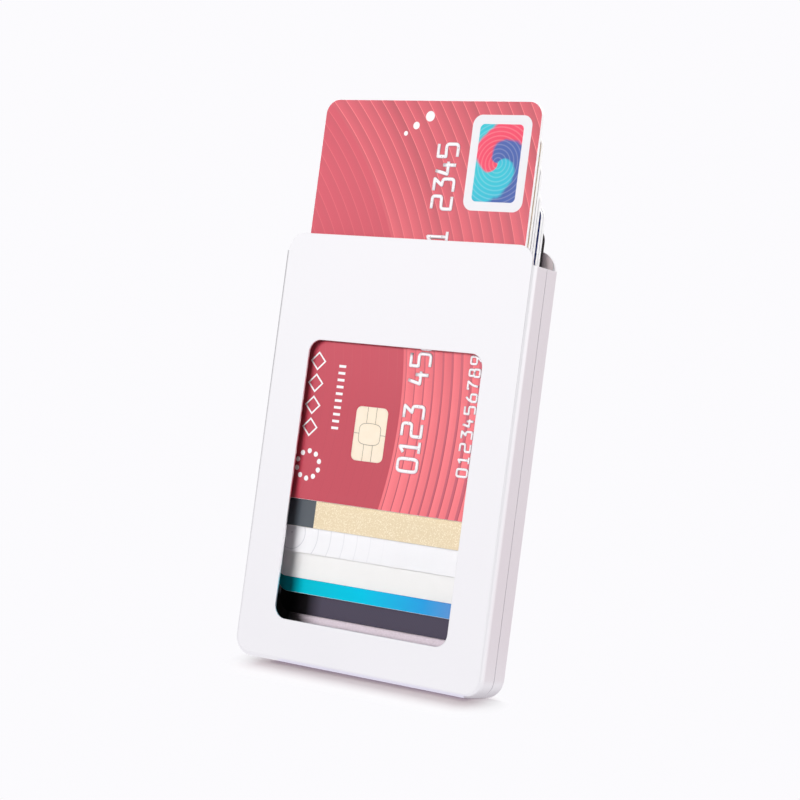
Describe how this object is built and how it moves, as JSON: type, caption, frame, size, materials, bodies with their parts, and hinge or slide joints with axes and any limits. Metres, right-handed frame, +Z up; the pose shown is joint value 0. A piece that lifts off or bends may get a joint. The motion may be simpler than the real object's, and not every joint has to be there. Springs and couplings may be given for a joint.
{
  "type": "card holder",
  "caption": "Slim aluminium card holder: two half shells with a front thumb window and an open top, holding standard cards raised in steps.",
  "frame": {"origin": "middle of the case's bottom face: mid-width, at the seam's mid-depth", "axes": "+Z up through the open mouth, along the cards' slide; -Y is the front with the thumb window; +X is the holder's right as seen from the front"},
  "size_m": [0.0628, 0.0088, 0.12],
  "materials": {
    "anodised_aluminium": "bead blasted, silver anodised",
    "black_plastic": "moulded, matt",
    "spring_steel": "rolled stainless strip",
    "bumper_rubber": "matt",
    "felt": "thin grey felt",
    "red_card": "laminated, satin",
    "gold_card": "laminated, pearl",
    "white_card": "laminated, satin",
    "ivory_card": "laminated, satin",
    "blue_green_card": "laminated, glossy",
    "plain_white_card": "laminated, satin",
    "dark_card": "laminated, satin",
    "gold_contact": "plated contact"
  },
  "bodies": {
    "case": {"front_shell": "anodised_aluminium", "rear_shell": "anodised_aluminium", "left_rail": "black_plastic", "right_rail": "black_plastic", "left_leaf_spring": "spring_steel", "right_leaf_spring": "spring_steel", "floor_rail": "black_plastic", "floor_bumper": "bumper_rubber", "front_pad_upper": "felt", "front_pad_lower": "felt"},
    "sliding_card_1": {"card_1": "red_card", "card_1_chip": "gold_contact"},
    "sliding_card_2": {"card_2": "gold_card", "card_2_chip": "gold_contact"},
    "sliding_card_3": {"card_3": "white_card", "card_3_chip": "gold_contact"},
    "sliding_card_4": {"card_4": "ivory_card"},
    "sliding_card_5": {"card_5": "blue_green_card", "card_5_chip": "gold_contact"},
    "sliding_card_6": {"card_6": "plain_white_card"},
    "sliding_card_7": {"card_7": "dark_card"}
  },
  "joints": [
    {"name": "card_1_slide", "type": "slide", "parent": "case", "child": "sliding_card_1", "axis": [0, 0, 1], "range_m": [-0.03201, 0.0592]},
    {"name": "card_2_slide", "type": "slide", "parent": "case", "child": "sliding_card_2", "axis": [0, 0, 1], "range_m": [-0.02619, 0.065]},
    {"name": "card_3_slide", "type": "slide", "parent": "case", "child": "sliding_card_3", "axis": [0, 0, 1], "range_m": [-0.02072, 0.0705]},
    {"name": "card_4_slide", "type": "slide", "parent": "case", "child": "sliding_card_4", "axis": [0, 0, 1], "range_m": [-0.01532, 0.0759]},
    {"name": "card_5_slide", "type": "slide", "parent": "case", "child": "sliding_card_5", "axis": [0, 0, 1], "range_m": [-0.01211, 0.0791]},
    {"name": "card_6_slide", "type": "slide", "parent": "case", "child": "sliding_card_6", "axis": [0, 0, 1], "range_m": [-0.0122, 0.079]},
    {"name": "card_7_slide", "type": "slide", "parent": "case", "child": "sliding_card_7", "axis": [0, 0, 1], "range_m": [-0.0077, 0.0835]}
  ]
}
